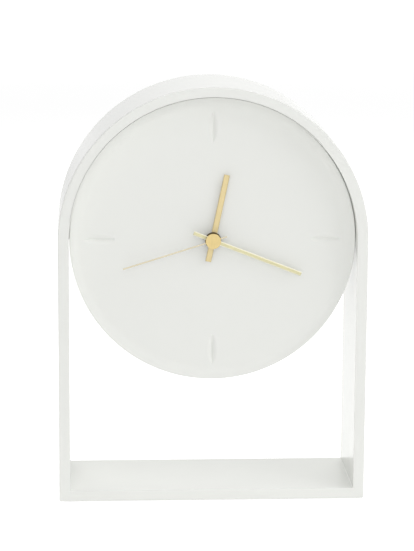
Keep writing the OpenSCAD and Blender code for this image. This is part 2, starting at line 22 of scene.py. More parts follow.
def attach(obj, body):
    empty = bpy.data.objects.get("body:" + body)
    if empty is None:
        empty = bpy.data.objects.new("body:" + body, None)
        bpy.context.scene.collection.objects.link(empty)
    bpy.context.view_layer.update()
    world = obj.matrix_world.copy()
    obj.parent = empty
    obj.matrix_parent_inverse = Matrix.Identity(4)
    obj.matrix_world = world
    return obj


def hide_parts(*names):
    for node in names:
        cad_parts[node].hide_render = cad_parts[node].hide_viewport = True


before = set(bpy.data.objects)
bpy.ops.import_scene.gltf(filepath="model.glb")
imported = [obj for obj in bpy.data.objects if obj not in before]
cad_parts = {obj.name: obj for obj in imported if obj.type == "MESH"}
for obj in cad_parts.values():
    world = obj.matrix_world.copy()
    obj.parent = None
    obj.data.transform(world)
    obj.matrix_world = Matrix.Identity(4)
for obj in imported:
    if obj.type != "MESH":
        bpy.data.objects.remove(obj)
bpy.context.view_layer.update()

MM = 0.001
HALF_DEPTH = 40.0
AXIS_HEIGHT = 190.0
QUARTER = math.pi / 2

Point = tuple[float, float, float]
Flat = tuple[float, float]
Value = Union["Wire", float, Sequence[float]]

# The values between which nearly all of a noise lies, and all of a mask
NOISE: Flat = (0.3, 0.7)
MASK: Flat = (0.0, 1.0)
WHITE: Point = (1.0, 1.0, 1.0)

log = logging.getLogger("clock")


class Disc(NamedTuple):
    """A round disc or boss: the depth of its front, its thickness and its radius."""

    depth: float
    thick: float
    radius: float


class Post(NamedTuple):
    """A round post: its distance from the clock's axis, its radius and the depth of its end."""

    out: float
    radius: float
    end: float


def spaced(start: float, end: float, steps: int) -> list[float]:
    """Gives evenly spaced values.

    Args:
        start: The first value.
        end: The last value.
        steps: The number of steps between them.

    Returns:
        The values, both ends among them.
    """
    return [start + (end - start) * i / steps for i in range(steps + 1)]


def scaled(colour: Point, gain: float, lift: float = 0.0, top: float = math.inf) -> Point:
    """Makes a colour lighter or darker.

    Args:
        colour: The colour.
        gain: What each channel is multiplied by.
        lift: What is added to it.
        top: What it is held under.

    Returns:
        The new colour.
    """
    red, green, blue = (min(top, channel * gain + lift) for channel in colour)
    return red, green, blue


# Shader maths


class Wire:
    """One output of a shader node, which sums and products can be written with."""

    def __init__(self, graph: "Graph", socket: bpy.types.NodeSocket) -> None:
        """Keeps the graph and the socket.

        Args:
            graph: The graph that the node is in.
            socket: The node's output.
        """
        self.graph = graph
        self.socket = socket

    def _maths(self, operation: str, *values: Value) -> "Wire":
        """Adds one Math node.

        Args:
            operation: The node's operation.
            values: What its sockets get, in order.

        Returns:
            The node's output.
        """
        return self.graph.node("ShaderNodeMath", {"operation": operation}, dict(enumerate(values)))

    def __add__(self, other: Value) -> "Wire":
        """Sum."""
        return self._maths("ADD", self, other)

    def __radd__(self, other: Value) -> "Wire":
        """Sum with a number first."""
        return self._maths("ADD", other, self)

    def __sub__(self, other: Value) -> "Wire":
        """Difference."""
        return self._maths("SUBTRACT", self, other)

    def __rsub__(self, other: Value) -> "Wire":
        """Difference with a number first."""
        return self._maths("SUBTRACT", other, self)

    def __mul__(self, other: Value) -> "Wire":
        """Product."""
        return self._maths("MULTIPLY", self, other)

    def __rmul__(self, other: Value) -> "Wire":
        """Product with a number first."""
        return self._maths("MULTIPLY", other, self)

    def __abs__(self) -> "Wire":
        """Size without its sign."""
        return self._maths("ABSOLUTE", self)

    def larger(self, other: Value) -> "Wire":
        """The larger of the two."""
        return self._maths("MAXIMUM", self, other)

    def spread(self, reach: Flat, start: float, end: float) -> "Wire":
        """Maps a stretch of values onto another one and holds it there.

        Args:
            reach: Where the stretch begins and ends.
            start: What its beginning becomes.
            end: What its end becomes.

        Returns:
            The mapped value.
        """
        low, high = reach
        return self.graph.node("ShaderNodeMapRange", {"clamp": True}, {
            "Value": self, "From Min": low, "From Max": high, "To Min": start, "To Max": end})


class Graph:
    """The node tree of a material or of the world."""

    def __init__(self, tree: bpy.types.NodeTree) -> None:
        """Empties the tree.

        Args:
            tree: The node tree to fill.
        """
        self.tree = tree
        self.tree.nodes.clear()

    @staticmethod
    def _pick(sockets: Sequence[bpy.types.NodeSocket], key: int | str) -> bpy.types.NodeSocket:
        """Finds a socket.

        Args:
            sockets: The node's inputs or outputs.
            key: Its place, identifier or name.

        Returns:
            The socket.
        """
        if isinstance(key, int):
            return sockets[key]
        found = [s for s in sockets if s.identifier == key] or [s for s in sockets if s.name == key]
        return found[0]

    def _made(self, kind: str, settings: dict[str, object],
              sockets: dict[int | str, Value]) -> bpy.types.Node:
        """Makes a node: its settings first, then the values and links of its sockets.

        Args:
            kind: The node's type.
            settings: Its settings.
            sockets: What each socket gets, by place, identifier or name.

        Returns:
            The node.
        """
        made = self.tree.nodes.new(kind)
        for name, value in settings.items():
            setattr(made, name, value)
        for key, value in sockets.items():
            socket = self._pick(made.inputs, key)
            if isinstance(value, Wire):
                self.tree.links.new(value.socket, socket)
            elif isinstance(value, (tuple, list)) and len(value) < len(socket.default_value):
                socket.default_value = (*value, 1.0)
            else:
                socket.default_value = value
        return made

    def node(self, kind: str, settings: dict[str, object] | None = None,
             sockets: dict[int | str, Value] | None = None, out: int | str = 0) -> Wire:
        """Adds a node and gives one of its outputs.

        Args:
            kind: The node's type.
            settings: Its settings.
            sockets: What each socket gets, by place, identifier or name.
            out: The output that the result stands for.

        Returns:
            That output.
        """
        return Wire(self, self._pick(self._made(kind, settings or {}, sockets or {}).outputs, out))

    def end(self, shader: Wire, kind: str = "ShaderNodeOutputMaterial") -> None:
        """Links a shader to the tree's output.

        Args:
            shader: The shader.
            kind: The output node's type.
        """
        self._made(kind, {}, {"Surface": shader})

    def place(self) -> Wire:
        """The point on the piece, in its own metres."""
        return self.node("ShaderNodeTexCoord", out="Object")

    def stretched(self, scale: Point) -> Wire:
        """The point on the piece, stretched along its axes."""
        return self.node("ShaderNodeVectorMath", {"operation": "MULTIPLY"}, {0: self.place(), 1: scale})

    def along(self, vector: Wire, axis: str) -> Wire:
        """One axis of a vector."""
        return self.node("ShaderNodeSeparateXYZ", None, {0: vector}, out=axis)

    def grain(self, scale: float, detail: float, vector: Wire | None = None) -> Wire:
        """A cloudy noise from 0 to 1.

        Args:
            scale: Turns of the noise in a metre.
            detail: How many finer layers it has.
            vector: The point that it reads, or None for the piece's own.

        Returns:
            The noise.
        """
        return self.node("ShaderNodeTexNoise", None, {
            "Vector": vector or self.place(), "Scale": scale, "Detail": detail}, out="Fac")

    def blend(self, share: Value, first: Value, second: Value) -> Wire:
        """Mixes two colours.

        Args:
            share: How much of the second one shows.
            first: The first colour.
            second: The second colour.

        Returns:
            The mixed colour.
        """
        return self.node("ShaderNodeMix", {"data_type": "RGBA", "blend_type": "MIX"}, {
            "Factor_Float": share, "A_Color": first, "B_Color": second}, out="Result_Color")

    def relief(self, height: Wire, depth_mm: float) -> Wire:
        """A normal from a height.

        Args:
            height: The height, from 0 to 1.
            depth_mm: The depth of a full step.

        Returns:
            The normal.
        """
        return self.node("ShaderNodeBump", None, {
            "Height": height, "Distance": depth_mm * MM, "Strength": 1.0}, out="Normal")

    def looked_at(self) -> Wire:
        """Tells what is seen from the light that it gives.

        Returns:
            1 where a point is seen directly, mirrored or through glass, and 0 for its light.
        """
        seen, mirrored, through = (self.node("ShaderNodeLightPath", out=f"Is {kind} Ray")
                                   for kind in ("Camera", "Glossy", "Transmission"))
        return seen.larger(mirrored).larger(through)

    def surface(self, **sockets: Value) -> None:
        """Ends the tree in a Principled shader.

        Args:
            sockets: What its sockets get, with _ for a space in a name.
        """
        named = {name.replace("_", " "): value for name, value in sockets.items()}
        self.end(self.node("ShaderNodeBsdfPrincipled", None, named))


# Finishes


@dataclass(frozen=True)
class Finish:
    """What every finish has: a name, the record's material slot and a colour."""

    name: str
    slot: str
    colour: Point

    @functools.cache
    def make(self) -> bpy.types.Material:
        """Gives the material, made once.

        Returns:
            The material.
        """
        made = bpy.data.materials.new(self.name)
        made.use_nodes = True
        made.diffuse_color = (*self.colour, 1.0)
        self.paint(Graph(made.node_tree))
        return made

    def paint(self, graph: Graph) -> None:
        """Builds the finish's nodes.

        Args:
            graph: The material's graph.
        """
        raise NotImplementedError


@dataclass(frozen=True)
class MouldedPlastic(Finish):
    """Injection-moulded plastic: an even colour under a faint orange peel, with soft handling marks."""

    gloss: float = 0.14
    marks: float = 0.03
    marks_reach: Flat = (0.1, 0.45)
    marks_scales: Flat = (48.0, 9.0)
    peel_mm: float = 0.0008
    peel_pitch_mm: float = 2.2
    fine_peel: float = 0.25
    shade: float = 0.006
    shade_scale: float = 22.0
    speck_shade: float = 0.004
    speck_scale: float = 5200.0
    speck_reach: Flat = (0.35, 0.65)
    tones: Flat = (0.5, 1.5)
    refraction: float = 1.52

    def paint(self, graph: Graph) -> None:
        """Builds the plastic's nodes.

        Args:
            graph: The material's graph.
        """
        clouds = graph.grain(self.shade_scale, detail=3.0)
        clouds = clouds.spread(NOISE, 0.5 - self.shade, 0.5 + self.shade)
        specks = graph.grain(self.speck_scale, detail=1.0)
        specks = specks.spread(self.speck_reach, -self.speck_shade, self.speck_shade)
        dark, pale = (scaled(self.colour, tone) for tone in self.tones)
        small, broad = self.marks_scales
        smudge = graph.grain(small, detail=5.0) * graph.grain(broad, detail=1.0)
        rough = smudge.spread(self.marks_reach, self.gloss - self.marks / 2, self.gloss + self.marks)
        pitch = 1.0 / (self.peel_pitch_mm * MM)
        peel = graph.grain(pitch, detail=1.5) + graph.grain(4.0 * pitch, detail=2.0) * self.fine_peel
        graph.surface(Base_Color=graph.blend(clouds + specks, dark, pale), Roughness=rough,
                      Normal=graph.relief(peel, self.peel_mm), IOR=self.refraction)


@dataclass(frozen=True)
class SatinMetal(Finish):
    """Rolled sheet with a fine grain and a satin lacquer. Its bevel is how pale its slanted sides are
    painted: a painted highlight on the chamfers.
    """

    rough: float = 0.34
    rough_play: Flat = (-0.05, 0.07)
    grain_mm: float = 0.0035
    along: Point = (2600.0, 2600.0, 90.0)
    cloud_scale: float = 160.0
    streak_share: float = 0.55
    deep: float = 0.86
    pale: Flat = (1.07, 0.01)
    # How strongly the slanted sides get a painted highlight, and the facing values over which it fades
    bevel: float = 0.0
    bevel_highlight_reach: Flat = (0.8, 0.97)

    def paint(self, graph: Graph) -> None:
        """Builds the metal's nodes.

        Args:
            graph: The material's graph.
        """
        streaks = graph.grain(1.0, detail=3.0, vector=graph.stretched(self.along))
        clouds = graph.grain(self.cloud_scale, detail=3.0)
        tone = (streaks * self.streak_share + clouds * (1.0 - self.streak_share)).spread(NOISE, *MASK)
        colour = graph.blend(tone, scaled(self.colour, self.deep), scaled(self.colour, *self.pale, 1.0))
        # Painted highlight: faces turned away from the depth axis, the chamfers, are blended towards a
        # paler colour
        if self.bevel:
            facing = graph.node("ShaderNodeTexCoord", out="Normal")
            turned = abs(graph.along(facing, "Y")).spread(self.bevel_highlight_reach, 1.0, 0.0)
            colour = graph.blend(turned, colour, scaled(self.colour, 1.0 - self.bevel, self.bevel))
        smooth, dull = (self.rough + play for play in self.rough_play)
        graph.surface(Base_Color=colour, Metallic=1.0,
                      Roughness=(streaks * 0.5 + clouds * 0.5).spread(NOISE, smooth, dull),
                      Normal=graph.relief(streaks, self.grain_mm))


@dataclass(frozen=True)
class Rubber(Finish):
    """Dull moulded rubber with a fine pebble and a little dust."""

    rough: float = 0.7
    rough_play: Flat = (-0.06, 0.08)
    pebble_scale: float = 3600.0
    pebble_mm: float = 0.012
    dust_scale: float = 240.0
    dust_reach: Flat = (0.45, 0.8)
    dust: float = 0.25
    dusty: Flat = (1.3, 0.05)

    def paint(self, graph: Graph) -> None:
        """Builds the rubber's nodes.

        Args:
            graph: The material's graph.
        """
        pebble = graph.grain(self.pebble_scale, detail=2.0)
        dust = graph.grain(self.dust_scale, detail=4.0).spread(self.dust_reach, 0.0, self.dust)
        smooth, dull = (self.rough + play for play in self.rough_play)
        graph.surface(Base_Color=graph.blend(dust, self.colour, scaled(self.colour, *self.dusty, 1.0)),
                      Roughness=pebble.spread(NOISE, smooth, dull),
                      Normal=graph.relief(pebble, self.pebble_mm))


@dataclass(frozen=True)
class WoundWire(Finish):
    """Enamelled copper wire laid turn by turn along z, with painted shade in the grooves between turns.
    """

    pitch_mm: float = 0.12
    wave_share: float = 0.314
    wander: float = 0.4
    # How dark the painted shade in the grooves between turns is, as a share of the colour
    groove: float = 0.45
    groove_mm: float = 0.05
    shine: float = 0.9
    roughness: Flat = (0.45, 0.28)

    def paint(self, graph: Graph) -> None:
        """Builds the winding's nodes.

        Args:
            graph: The material's graph.
        """
        turns = graph.node("ShaderNodeTexWave", {"bands_direction": "Z", "wave_profile": "SIN"}, {
            "Vector": graph.place(), "Scale": self.wave_share / (self.pitch_mm * MM),
            "Distortion": self.wander}, out="Fac")
        graph.surface(Base_Color=graph.blend(turns, scaled(self.colour, self.groove), self.colour),
                      Metallic=self.shine, Roughness=turns.spread(MASK, *self.roughness),
                      Normal=graph.relief(turns, self.groove_mm))


@dataclass(frozen=True)
class LacqueredBoard(Finish):
    """Green solder lacquer over copper tracks."""

    lane_scale: float = 420.0
    lane_gap: float = 0.09
    lane_mm: float = 0.03
    lane_pale: Flat = (1.9, 0.02)
    roughness: Flat = (0.32, 0.24)

    def paint(self, graph: Graph) -> None:
        """Builds the board's nodes.

        Args:
            graph: The material's graph.
        """
        lanes = graph.node("ShaderNodeTexBrick", {"offset": 0.5}, {
            "Vector": graph.place(), "Scale": self.lane_scale, "Mortar Size": self.lane_gap}, out="Fac")
        pale = scaled(self.colour, *self.lane_pale, 1.0)
        graph.surface(Base_Color=graph.blend(lanes, self.colour, pale),
                      Roughness=lanes.spread(MASK, *self.roughness),
                      Normal=graph.relief(lanes, self.lane_mm))


@dataclass(frozen=True)
class CellJacket(Finish):
    """Plain printed foil round the dry cell: a dark body with a metal-coloured band at the nub end."""

    band_from_mm: float = 12.0
    band_edge_mm: float = 0.15
    band: Point = (0.62, 0.42, 0.16)
    shine: Flat = (0.15, 0.85)
    scuff_scale: float = 900.0
    scuff_mm: float = 0.004
    roughness: Flat = (0.24, 0.36)

    def paint(self, graph: Graph) -> None:
        """Builds the jacket's nodes.

        Args:
            graph: The material's graph.
        """
        edge = (self.band_from_mm * MM, (self.band_from_mm + self.band_edge_mm) * MM)
        band = graph.along(graph.place(), "X").spread(edge, *MASK)
        scuff = graph.grain(self.scuff_scale, detail=3.0)
        graph.surface(Base_Color=graph.blend(band, self.colour, self.band),
                      Metallic=band.spread(MASK, *self.shine),
                      Roughness=scuff.spread(NOISE, *self.roughness),
                      Normal=graph.relief(scuff, self.scuff_mm))


class Finishes(Enum):
    """The clock's finishes."""

    FRAME = MouldedPlastic("white_gloss_plastic", "frame_white", (0.832, 0.84, 0.806), gloss=0.2)
    DIAL = MouldedPlastic("white_satin_dial", "dial_white", (0.822, 0.83, 0.796), gloss=0.42,
                          marks=0.05, peel_mm=0.0012, peel_pitch_mm=0.5, shade=0.004)
    PAD = Rubber("foot_rubber", "pad_rubber", (0.55, 0.55, 0.53), rough=0.6)
    STEEL = SatinMetal("screw_steel", "steel", (0.60, 0.60, 0.61), rough=0.28,
                       along=(900.0, 900.0, 900.0))
    HOUR_GOLD = SatinMetal("hour_gold", "hand_gold", (0.557, 0.463, 0.258), rough=0.48)
    # The minute hand's chamfers get a painted highlight
    MINUTE_GOLD = SatinMetal("minute_gold", "hand_gold", (0.53, 0.50, 0.315), rough=0.48, bevel=0.6)
    # A greyer copy of the hand gold for the second hand, standing in for the duller light it reflects at
    # its angle: painted shade
    SECOND_GOLD = SatinMetal("second_gold_shaded", "hand_gold", (0.56, 0.505, 0.37), rough=0.48)
    CAP_GOLD = SatinMetal("cap_gold", "hand_gold", (0.575, 0.455, 0.215), rough=0.48)
    # The collar's dark brown is the hub's gold as it looks in shade: painted shade on the dark collar
    COLLAR = MouldedPlastic("collar_shaded_gold", "collar_black", (0.07, 0.045, 0.013), gloss=0.35,
                            peel_mm=0.002, peel_pitch_mm=0.6)
    CASE = MouldedPlastic("movement_black", "case_black", (0.022, 0.022, 0.024), gloss=0.45,
                          peel_mm=0.006, peel_pitch_mm=0.35)
    GASKET = Rubber("gasket_rubber", "gasket_rubber", (0.015, 0.015, 0.015))
    WHEEL = MouldedPlastic("wheel_acetal", "wheel_plastic", (0.70, 0.66, 0.52), gloss=0.38,
                           peel_mm=0.002, peel_pitch_mm=0.6)
    BRASS = SatinMetal("brass_sheet", "wheel_brass", (0.78, 0.55, 0.22), rough=0.25,
                       along=(1400.0, 1400.0, 1400.0))
    MAGNET = MouldedPlastic("rotor_magnet", "magnet", (0.10, 0.10, 0.11), gloss=0.35,
                            peel_mm=0.003, peel_pitch_mm=0.3)
    STATOR = SatinMetal("stator_sheet", "stator_steel", (0.50, 0.51, 0.53), rough=0.4,
                        along=(300.0, 2600.0, 2600.0))
    BOBBIN = MouldedPlastic("bobbin_nylon", "bobbin_plastic", (0.68, 0.64, 0.52), gloss=0.4,
                            peel_mm=0.002, peel_pitch_mm=0.6)
    WIRE = WoundWire("coil_copper", "copper_wire", (0.72, 0.30, 0.12))
    BOARD = LacqueredBoard("board_lacquer", "board", (0.015, 0.11, 0.045))
    CELL = CellJacket("cell_foil", "cell_jacket", (0.03, 0.035, 0.045))
    CONTACT = SatinMetal("contact_nickel", "contact_metal", (0.66, 0.64, 0.60), rough=0.22,
                         along=(300.0, 2600.0, 2600.0))
    KNOB = MouldedPlastic("knob_white", "knob_plastic", (0.76, 0.77, 0.73), gloss=0.3)


# Mesh making


def put(name: str, data: bpy.types.ID, at: Matrix) -> bpy.types.Object:
    """Puts a new object into the scene.

    Args:
        name: Its name.
        data: Its mesh, lamp or camera.
        at: Where its origin goes, in metres.

    Returns:
        The object.
    """
    made = bpy.data.objects.new(name, data)
    made.matrix_world = at
    bpy.context.scene.collection.objects.link(made)
    return made


def axis_point(depth: float = 0.0) -> Matrix:
    """Gives the place of a point on the clock's axis, in metres.

    Args:
        depth: How far it lies behind the front face.

    Returns:
        The move to it.
    """
    return Matrix.Translation(Vector((0.0, depth - HALF_DEPTH, AXIS_HEIGHT)) * MM)


def base_point() -> Matrix:
    """The move to the middle of the front face's foot, on the surface."""
    return Matrix.Translation(Vector((0.0, -HALF_DEPTH, 0.0)) * MM)


class Blank:
    """A mesh in the making, in millimetres, about a piece's own origin."""

    RIM_STEPS = 3

    def __init__(self) -> None:
        """Starts with no points."""
        self.bm = bmesh.new()

    def skin(self, rings: Sequence[Sequence[Point]], loop: bool = False, caps: bool = False) -> "Blank":
        """Joins closed rings of points with four-sided faces.

        Args:
            rings: The rings, each with the same number of points.
            loop: Whether the last ring joins the first.
            caps: Whether the first and last rings are closed with a face.

        Returns:
            The blank itself.
        """
        rows = [[self.bm.verts.new(p) for p in ring] for ring in rings]
        pairs = list(zip(rows, rows[1:])) + ([(rows[-1], rows[0])] if loop else [])
        fresh = []
        for one, two in pairs:
            for i in range(len(one)):
                j = (i + 1) % len(one)
                fresh.append(self.bm.faces.new((one[i], one[j], two[j], two[i])))
        if caps:
            fresh += [self.bm.faces.new(rows[0]), self.bm.faces.new(rows[-1])]
        bmesh.ops.recalc_face_normals(self.bm, faces=fresh)
        return self

    def lathe(self, profile: Sequence[Flat], steps: int, arc: Flat | None = None) -> "Blank":
        """Turns a closed profile about an axis along the depth.

        Args:
            profile: The profile as (radius, depth).
            steps: Steps round the axis.
            arc: Start and end angle in degrees from +x towards +z, or None for a full turn.

        Returns:
            The blank itself.
        """
        start, end = (math.radians(angle) for angle in (arc or (0.0, 360.0)))
        turns = spaced(start, end, steps) if arc else spaced(start, end, steps)[:-1]
        rings = [[(r * math.cos(a), y, r * math.sin(a)) for r, y in profile] for a in turns]
        return self.skin(rings, loop=arc is None, caps=arc is not None)

    def rod(self, disc: Disc, centre: Flat = (0.0, 0.0), edge: float = 0.1, steps: int = 48) -> "Blank":
        """Adds a disc or rod along the depth, with rounded rims.

        Args:
            disc: Its depth, thickness and radius.
            centre: Its axis, as (x, z).
            edge: The rounding of its rims.
            steps: Steps round the axis.

        Returns:
            The blank itself.
        """
        flat = disc.radius - edge
        near, far = disc.depth + edge, disc.depth + disc.thick - edge
        rim = spaced(0.0, QUARTER, self.RIM_STEPS)
        path = [(flat + edge * math.sin(t), near - edge * math.cos(t)) for t in rim]
        path += [(flat + edge * math.cos(t), far + edge * math.sin(t)) for t in rim]
        turns = spaced(0.0, math.tau, steps)[:-1]
        rings = [[(centre[0] + r * math.cos(a), d, centre[1] + r * math.sin(a)) for a in turns]
                 for r, d in path]
        return self.skin(rings, caps=True)

    def soften(self, width: float, angle: float = 35.0, segments: int = 3) -> "Blank":
        """Rounds every edge that turns by more than an angle.

        Args:
            width: The width of the rounding.
            angle: The least angle in degrees.
            segments: Its steps.

        Returns:
            The blank itself.
        """
        edges = [edge for edge in self.bm.edges if len(edge.link_faces) == 2
                 and edge.calc_face_angle(0.0) > math.radians(angle)]
        bmesh.ops.bevel(self.bm, geom=edges, offset=width, offset_type="OFFSET", segments=segments,
                        profile=0.5, affect="EDGES", clamp_overlap=True)
        return self

    def solid(self, name: str, at: Matrix) -> bpy.types.Object:
        """Makes a bare object from the blank, in metres.

        Args:
            name: Its name.
            at: Where its origin goes, in metres.

        Returns:
            The object.
        """
        mesh = bpy.data.meshes.new(name)
        self.bm.transform(Matrix.Scale(MM, 4))
        self.bm.to_mesh(mesh)
        self.bm.free()
        return put(name, mesh, at)


class Workshop:
    """Cuts, shades, dresses and fits pieces."""

    # How much broad faces count in the shading of their corners
    FACE_WEIGHT = 80
    # Points of a solid closer than this, in metres, are one
    WELD_GAP = 2e-6
    # Edges that turn by more than this, in degrees, are rounded, in so many steps
    EDGE_ANGLE = 38.0
    EDGE_STEPS = 2

    @staticmethod
    def cut(piece: bpy.types.Object, tool: bpy.types.Object) -> None:
        """Cuts a piece with another one, which is used up.

        Args:
            piece: The piece.
            tool: The cutter.
        """
        saw = piece.modifiers.new("saw", "BOOLEAN")
        saw.operation, saw.object, saw.solver = "DIFFERENCE", tool, "EXACT"
        bpy.context.view_layer.update()
        evaluated = piece.evaluated_get(bpy.context.evaluated_depsgraph_get())
        cut_mesh = bpy.data.meshes.new_from_object(evaluated)
        whole_mesh, piece.data = piece.data, cut_mesh
        piece.modifiers.clear()
        bpy.data.meshes.remove(whole_mesh)
        bpy.data.objects.remove(tool)

    @staticmethod
    def shade(piece: bpy.types.Object, angle: float) -> None:
        """Smooths a piece's shading up to an angle and keeps its broad faces flat.

        Args:
            piece: The piece.
            angle: The angle in degrees.
        """
        piece.data.shade_smooth()
        piece.data.set_sharp_from_angle(angle=math.radians(angle))
        flat = piece.modifiers.new("flat_faces", "WEIGHTED_NORMAL")
        flat.keep_sharp, flat.weight = True, Workshop.FACE_WEIGHT

    @staticmethod
    def fit(piece: bpy.types.Object, finish: Finishes, body: str, *nodes: str,
            angle: float = 32.0) -> None:
        """Dresses a new piece and lets it ride on its body.

        Args:
            piece: The piece.
            finish: Its finish.
            body: The body that it moves with.
            nodes: The solids that it stands for.
            angle: The shading angle in degrees.
        """
        Workshop.shade(piece, angle)
        piece.data.materials.clear()
        piece.data.materials.append(finish.value.make())
        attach(piece, body)
        if nodes:
            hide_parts(*nodes)
        faces = len(piece.data.polygons)
        log.info("%s: %s on %s, %d faces", piece.name, finish.value.name, body, faces)

    @staticmethod
    def dress(node: str, finish: Finishes, edge: float) -> None:
        """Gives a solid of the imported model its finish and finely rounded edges.

        Args:
            node: The solid's name.
            finish: Its finish.
            edge: The rounding of its edges, or 0 for none.
        """
        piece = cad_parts[node]
        piece.data.materials.clear()
        piece.data.materials.append(finish.value.make())
        weld = piece.modifiers.new("weld", "WELD")
        weld.merge_threshold = Workshop.WELD_GAP
        if edge:
            bevel = piece.modifiers.new("edges", "BEVEL")
            bevel.width, bevel.segments = edge * MM, Workshop.EDGE_STEPS
            bevel.limit_method, bevel.angle_limit = "ANGLE", math.radians(Workshop.EDGE_ANGLE)
            bevel.harden_normals = True
        log.info("%s: %s", node, finish.value.name)


# Frame


@dataclass
class ArchFrame:
    """The white arch: a band swept round an open window, its rear band, the ledge and the feet."""

    half_width: float = 110.0
    rim: float = 7.8
    foot: float = 0.8
    seam: float = 77.0
    depth: float = 80.0
    edge: float = 0.7
    inner_edge: float = 0.25
    back_edge: float = 0.5
    seam_edge: float = 0.12
    corner_out: float = 1.0
    corner_in: float = 0.7
    corner_steps: int = 6
    head_steps: int = 160
    ledge_radii: Flat = (90.0, 103.0)
    ledge_depths: Flat = (16.0, 19.0)
    ledge_edge: float = 0.3
    ledge_steps: int = 120
    groove_at: float = 102.75
    groove_width: float = 0.42
    groove_depth: float = 1.6
    groove_arc: Flat = (42.0, 172.0)
    groove_steps: int = 130
    # The groove's width at each end, as a share, and how fast it grows from there
    groove_ends: tuple[Flat, Flat] = ((0.2, 8.0), (0.3, 1.8))
    cutter_over: float = 0.3
    pad_edge: float = 0.2
    screw_edge: float = 0.1

    def outline(self, inset: float) -> list[Flat]:
        """The arch drawn in by an inset, with small rounded corners at the base.

        Args:
            inset: How far in from the outside.

        Returns:
            The points, always as many.
        """
        half, low = self.half_width - inset, self.foot + inset
        r = self.corner_out + (self.corner_in - self.corner_out) * (inset / self.rim)
        right = [(half - r + r * math.sin(t), low + r - r * math.cos(t))
                 for t in spaced(0.0, QUARTER, self.corner_steps)]
        head = [(half * math.cos(t), AXIS_HEIGHT + half * math.sin(t))
                for t in spaced(0.0, math.pi, self.head_steps)]
        left = [(-x, z) for x, z in reversed(right)]
        return right + head + left

    def section(self, front: float, back: float, edges: tuple[float, float, float]) -> list[Flat]:
        """The band's cross-section with rounded corners.

        Args:
            front: The depth of its front.
            back: The depth of its back.
            edges: The rounding at the front outside, at the front inside and at the back.

        Returns:
            The section as (inset, depth).
        """
        outer, inner, rear = edges
        # Each corner: its inset and depth, its rounding, the first angle, and the way to its centre
        corners = [(0.0, front, outer, math.pi, 1.0, 1.0),
                   (self.rim, front, inner, -QUARTER, -1.0, 1.0),
                   (self.rim, back, rear, 0.0, -1.0, -1.0),
                   (0.0, back, rear, QUARTER, 1.0, -1.0)]
        return [(i + across * r + r * math.cos(start + t), y + deeper * r + r * math.sin(start + t))
                for i, y, r, start, across, deeper in corners
                for t in spaced(0.0, QUARTER, self.corner_steps)]

    def band(self, name: str, section: Sequence[Flat]) -> bpy.types.Object:
        """Sweeps a section round the arch.

        Args:
            name: The piece's name.
            section: The section as (inset, depth).

        Returns:
            The piece.
        """
        rings = [[(x, y, z) for x, z in self.outline(inset)] for inset, y in section]
        return Blank().skin(rings, loop=True).solid(name, base_point())

    def edge_groove(self) -> bpy.types.Object:
        """A cutter for the fine groove along the inner edge of the head, which thins out at both ends.

        Returns:
            The cutter.
        """
        first, last = self.groove_arc
        (start, opening), (end, closing) = self.groove_ends
        rings = []
        for share in spaced(0.0, 1.0, self.groove_steps):
            t = math.radians(first + (last - first) * share)
            grown = min(1.0, start + opening * share, end + closing * (1 - share))
            half = self.groove_width / 2 * grown
            inner, outer = self.groove_at - half, self.groove_at + half
            corners = ((inner, -self.cutter_over), (outer, -self.cutter_over),
                       (outer, self.groove_depth), (inner, self.groove_depth))
            rings.append([(r * math.cos(t), y, r * math.sin(t)) for r, y in corners])
        return Blank().skin(rings, caps=True).solid("groove_cutter", axis_point())

    def build(self) -> None:
        """Builds and dresses the frame."""
        front_edges = (self.edge, self.inner_edge, self.seam_edge)
        shell = self.band("arch_shell", self.section(0.0, self.seam, front_edges))
        Workshop.cut(shell, self.edge_groove())
        Workshop.fit(shell, Finishes.FRAME, "frame", "frame_shell")
        rear_edges = (self.seam_edge, self.seam_edge, self.back_edge)
        rear = self.band("back_band", self.section(self.seam, self.depth, rear_edges))
        Workshop.fit(rear, Finishes.FRAME, "frame", "rear_band")
        (r0, r1), (y0, y1) = self.ledge_radii, self.ledge_depths
        ledge = Blank().lathe([(r0, y0), (r1, y0), (r1, y1), (r0, y1)], self.ledge_steps, (0.0, 180.0))
        ledge.soften(self.ledge_edge)
        Workshop.fit(ledge.solid("dial_ledge", axis_point()), Finishes.FRAME, "frame")
        Workshop.dress("foot_pads", Finishes.PAD, self.pad_edge)
        Workshop.dress("ledge_screws", Finishes.STEEL, self.screw_edge)


# Dial


